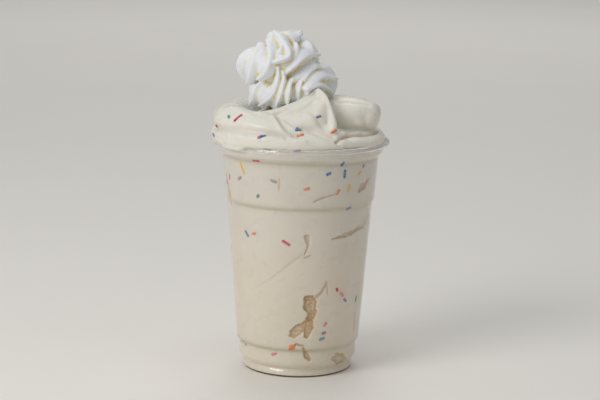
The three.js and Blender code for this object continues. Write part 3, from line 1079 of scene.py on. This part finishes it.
def cream_rings():
    path = smooth_path(STATIONS, ROPE_STEPS // (len(STATIONS) - 1))
    centres = []
    for turns, radius, height, x, _ in path:
        angle = math.radians(CREAM_START_DEGREES) + 2 * math.pi * turns
        centres.append(Vector((x + radius * math.cos(angle), CREAM_DEPTH + radius * math.sin(angle), height)))
    lengths = [0]
    for start, end in zip(centres, centres[1:]):
        lengths.append(lengths[-1] + (end - start).length)
    rings = []
    for index, (centre, place) in enumerate(zip(centres, path)):
        ahead = centres[min(index + 1, len(centres) - 1)] - centres[max(index - 1, 0)]
        ahead.normalize()
        angle = math.radians(CREAM_START_DEGREES) + 2 * math.pi * place[0]
        outwards = Vector((math.cos(angle), math.sin(angle), 0))
        across = (outwards - ahead * outwards.dot(ahead)).normalized()
        up = ahead.cross(across)
        twist = ROPE_TWISTS * 2 * math.pi * lengths[index] / lengths[-1]
        ring = []
        for side in range(ROPE_SIDES):
            around = 2 * math.pi * side / ROPE_SIDES
            spread = across * math.cos(around + twist) + up * math.sin(around + twist)
            front = smooth_share((-spread.y - 0.1) / 0.5)
            reach = place[4] * rope_reach(around, lengths[index], front)
            ring.append(centre + spread * reach)
        rings.append(ring)
    return rings


def valley_marks(bm, name):
    """Marks each point of a mesh by how deep it lies in a crease, as a mask for painted shade."""
    layer = bm.verts.layers.float.new(name)
    bm.normal_update()
    bm.verts.index_update()
    pairs = np.array([(edge.verts[0].index, edge.verts[1].index) for edge in bm.edges])
    ends = np.concatenate((pairs[:, 0], pairs[:, 1]))
    others = np.concatenate((pairs[:, 1], pairs[:, 0]))
    counts = np.bincount(ends)

    def neighbours(values):
        return np.bincount(ends, values[others]) / counts

    points = np.array([vert.co for vert in bm.verts])
    normals = np.array([vert.normal for vert in bm.verts])
    middles = np.stack([neighbours(points[:, axis]) for axis in range(3)], axis=1)
    depths = ((middles - points) * normals).sum(axis=1)
    for _ in range(VALLEY_SPREAD):
        depths = (depths + neighbours(depths)) / 2
    for vert, depth in zip(bm.verts, depths):
        vert[layer] = smooth_share(depth / VALLEY_DEPTH)


def whipped_cream(finish):
    bm = bmesh.new()
    tube(bm, cream_rings())
    for x, height, radius, half_height in CORES:
        stretch = Matrix.Diagonal((radius, radius, half_height, 1))
        place = Matrix.Translation((x, CREAM_DEPTH, height)) @ stretch
        bmesh.ops.create_icosphere(bm, subdivisions=4, radius=1, matrix=place)
    for places in PETALS:
        petal(bm, places)
    bm = fused(bm, CREAM_VOXEL)
    soften(bm, bm.verts, 2)
    # Marks the valleys for painted yellow shade.
    valley_marks(bm, "painted_valley_shade")
    return finished("cream_swirl", bm, finish, "whipped_cream")


# The sprinkles

SPRINKLE_COLOURS = {
    "red": linear(206, 44, 78),
    "pink": linear(222, 120, 138),
    "orange": linear(228, 128, 62),
    "yellow": linear(226, 188, 66),
    "teal": linear(64, 140, 134),
    "blue": linear(26, 106, 158),
    "purple": linear(132, 104, 160),
    "faded": linear(164, 152, 146),
}

# Sprinkles that show through the wall: colour, degrees, height, tilt from level, length.
WALL_SPRINKLES = [
    ("yellow", -137.6, 116, -62, 7.4),
    ("red", -122.8, 121.7, 5, 5),
    ("blue", -59, 120.6, 82, 4),
    ("blue", -56.3, 114.8, 88, 5),
    ("blue", -69.3, 115.4, 20, 3.2),
    ("yellow", -51.6, 106.8, 86, 4.6),
    ("orange", -61.2, 105.2, 60, 3.6),
    ("orange", -85.2, 107.4, 15, 3.6),
    ("yellow", -41.4, 114.3, 40, 3),
    ("purple", -37.4, 117.8, 60, 2.4),
    ("purple", -49.6, 95.6, 20, 3.6),
    ("faded", -141, 110, 30, 4),
    ("faded", -109.8, 111, -20, 4),
    ("teal", -122.9, 101.9, 50, 2.4),
    ("blue", -137, 79.6, -50, 4.4),
    ("orange", -129, 80.4, 15, 3),
    ("red", -100.6, 77.2, -30, 5.2),
    ("red", -55, 50, -60, 2.6),
    ("pink", -49.4, 47, -45, 3.8),
    ("purple", -45, 43.3, -40, 3.2),
    ("teal", -28, 42, 70, 3.6),
    ("pink", -65, 31, 50, 3),
    ("purple", -65.7, 26, 20, 2.8),
    ("teal", -67.4, 22.7, 20, 3.4),
    ("orange", -94.6, 19.2, 12, 4),
    ("orange", -95.2, 17.6, 12, 3.8),
    ("pink", -112.9, 13.3, 20, 3.6),
    ("faded", -150.6, 14.8, 40, 3.4),
]

# Sprinkles on the heap: colour, x, y, height, turn about the upright, length.
HEAP_SPRINKLES = [
    ("red", -34, -28.3, 143, 20, 6),
    ("teal", -39, -23.1, 142.7, 90, 3),
    ("red", -46.8, -7.5, 135.5, 80, 4),
    ("purple", -46.2, -12, 131.2, 60, 4),
    ("blue", -2.4, -38.9, 139.1, 80, 4),
    ("blue", -1.0, -38.9, 139.1, 40, 4),
    ("orange", -0.9, -42.6, 136.4, 0, 4),
    ("blue", -20.1, -42.9, 134.2, 10, 4),
    ("pink", -21.5, -42.5, 134.6, 40, 4),
    ("teal", -17.6, -42.6, 129.8, 0, 4),
    ("purple", -2.1, -45.6, 129.6, 0, 4),
    ("purple", 9.1, -34.6, 145.8, 30, 3),
    ("orange", 17.4, -38.2, 138.3, 60, 4),
]


def rod(bm, centre, along, length, thickness, inside=None):
    """One sprinkle: a short rod with rounded ends, pressed flat where it would pass a radius."""
    along = along.normalized()
    side = along.orthogonal().normalized()
    up = along.cross(side)
    half = length / 2
    stations = [(-half, 0.35), (-half + 0.25, 0.8), (-half + 0.75, 1.0),
                (half - 0.75, 1.0), (half - 0.25, 0.8), (half, 0.35)]
    rings = []
    for run, share in stations:
        ring = []
        for step in range(SPRINKLE_SIDES):
            angle = 2 * math.pi * step / SPRINKLE_SIDES
            point = centre + along * run
            point += (side * math.cos(angle) + up * math.sin(angle)) * thickness * share
            radius = math.hypot(point.x, point.y)
            if inside and radius > inside(point.z):
                point.x *= inside(point.z) / radius
                point.y *= inside(point.z) / radius
            ring.append(point)
        rings.append(ring)
    tube(bm, rings)


def inside_the_wall(height):
    """The radius that a sprinkle at the wall keeps within."""
    return wall_radius(height, WALL / 4)


def sprinkles(heap):
    draw = random.Random(SEED)
    surface = BVHTree.FromObject(heap, bpy.context.evaluated_depsgraph_get())
    meshes = {colour: bmesh.new() for colour in SPRINKLE_COLOURS}
    names = list(SPRINKLE_COLOURS)
    on_wall = list(WALL_SPRINKLES)
    for _ in range(HIDDEN_WALL_SPRINKLES):
        on_wall.append((
            draw.choice(names), draw.uniform(-5, 205), draw.uniform(14, 122),
            draw.uniform(0, 90), draw.uniform(*HIDDEN_LENGTHS),
        ))
    for colour, degrees, height, tilt, length in on_wall:
        angle = math.radians(degrees)
        level = Vector((-math.sin(angle), math.cos(angle), 0))
        outwards = Vector((math.cos(angle), math.sin(angle), 0))
        slope = wall_radius(height + 1, 0) - wall_radius(height - 1, 0)
        rise = (Vector((0, 0, 2)) + outwards * slope).normalized()
        along = level * math.cos(math.radians(tilt)) + rise * math.sin(math.radians(tilt))
        centre = outwards * (wall_radius(height, WALL / 2) - WALL_SPRINKLE_SUNK) + Vector((0, 0, height))
        rod(meshes[colour], centre, along, length, WALL_SPRINKLE_RADIUS, inside_the_wall)
    on_heap = list(HEAP_SPRINKLES)
    for _ in range(HIDDEN_HEAP_SPRINKLES):
        angle = draw.uniform(math.radians(35), math.radians(145))
        radius = draw.uniform(44, 50)
        on_heap.append((
            draw.choice(names), radius * math.cos(angle), radius * math.sin(angle),
            draw.uniform(131, 144), draw.uniform(0, 180), draw.uniform(*HIDDEN_LENGTHS),
        ))
    for colour, x, y, height, turn, length in on_heap:
        place, normal, _, _ = surface.find_nearest(Vector((x, y, height)) * MM)
        level = Vector((math.cos(math.radians(turn)), math.sin(math.radians(turn)), 0.2))
        along = level - normal * level.dot(normal)
        rod(meshes[colour], place / MM - normal * HEAP_SPRINKLE_SUNK, along, length, HEAP_SPRINKLE_RADIUS)
    for colour, bm in meshes.items():
        finish = sprinkle_finish("sprinkle_" + colour, SPRINKLE_COLOURS[colour])
        bmesh.ops.recalc_face_normals(bm, faces=bm.faces)
        finished("sprinkles_" + colour, bm, finish)


# The floor, the light and the camera

FLOOR_REACH = 8.0
CAMERA_PLACE = (0, -0.920, 0.261)
CAMERA_PITCH = 10.3
CAMERA_ROLL = 1.05
SENSOR_WIDTH = 36
FOCAL_PIXELS = 1678
PICTURE_WIDTH = 600


def floor():
    bm = bmesh.new()
    bmesh.ops.create_grid(bm, x_segments=1, y_segments=1, size=FLOOR_REACH)
    mesh = bpy.data.meshes.new("floor")
    bm.to_mesh(mesh)
    bm.free()
    mesh.materials.append(floor_finish())
    piece = bpy.data.objects.new("floor", mesh)
    bpy.context.scene.collection.objects.link(piece)


def soft_lamp(name, place, aim, size, power, colour):
    data = bpy.data.lights.new(name, "AREA")
    data.shape = "DISK"
    data.size = size
    data.energy = power
    data.color = colour
    lamp = bpy.data.objects.new(name, data)
    lamp.location = place
    lamp.rotation_euler = (Vector(aim) - Vector(place)).to_track_quat("-Z", "Y").to_euler()
    bpy.context.scene.collection.objects.link(lamp)


def studio_light():
    world = bpy.data.worlds.new("studio")
    world.use_nodes = True
    background = world.node_tree.nodes["Background"]
    background.inputs["Color"].default_value = (1, 1, 1, 1)
    background.inputs["Strength"].default_value = 0.29
    bpy.context.scene.world = world
    middle = (0, 0, 0.1)
    soft_lamp("key", (-0.85, -0.75, 0.75), middle, 0.7, 7.2, (1, 1, 1))
    soft_lamp("overhead", (0, 0, 1.5), middle, 1.0, 3.2, (1, 1, 1))
    soft_lamp("fill", (1.0, -0.5, 0.6), middle, 0.7, 0.4, (1, 1, 1))
    soft_lamp("floor_wash", (0, 2.6, 2.4), (0, 2.6, 0), 2.4, 26, (1, 1, 1))
    bpy.context.scene.view_settings.view_transform = "Standard"


def camera():
    pitch = math.radians(CAMERA_PITCH)
    roll = math.radians(CAMERA_ROLL)
    right = Vector((1, 0, 0))
    ahead = Vector((0, math.cos(pitch), -math.sin(pitch)))
    up = Vector((0, math.sin(pitch), math.cos(pitch)))
    rolled_right = right * math.cos(roll) + up * math.sin(roll)
    rolled_up = up * math.cos(roll) - right * math.sin(roll)
    data = bpy.data.cameras.new("camera")
    data.sensor_width = SENSOR_WIDTH
    data.lens = SENSOR_WIDTH * FOCAL_PIXELS / PICTURE_WIDTH
    made = bpy.data.objects.new("camera", data)
    turn = Matrix((rolled_right, rolled_up, -ahead)).transposed().to_4x4()
    made.matrix_world = Matrix.Translation(CAMERA_PLACE) @ turn
    bpy.context.scene.collection.objects.link(made)
    bpy.context.scene.camera = made


camera()
floor()
studio_light()
milkshake = shake_finish()
# The shake at the wall is a darker, warmer copy of the heap's, with painted shade and painted warm bounce
# light.
wall_shake_painted_light = shake_finish("milkshake_at_wall_painted_light", WALL_IVORY_PAINTED_BOUNCE, WALL_DEEP_IVORY_PAINTED_BOUNCE, WALL_UPPER_PAINTED_SHADE)
clear_cup(clear_plastic_finish())
shake_fill(wall_shake_painted_light)
heap = shake_heap(milkshake)
whipped_cream(cream_finish())
sprinkles(heap)
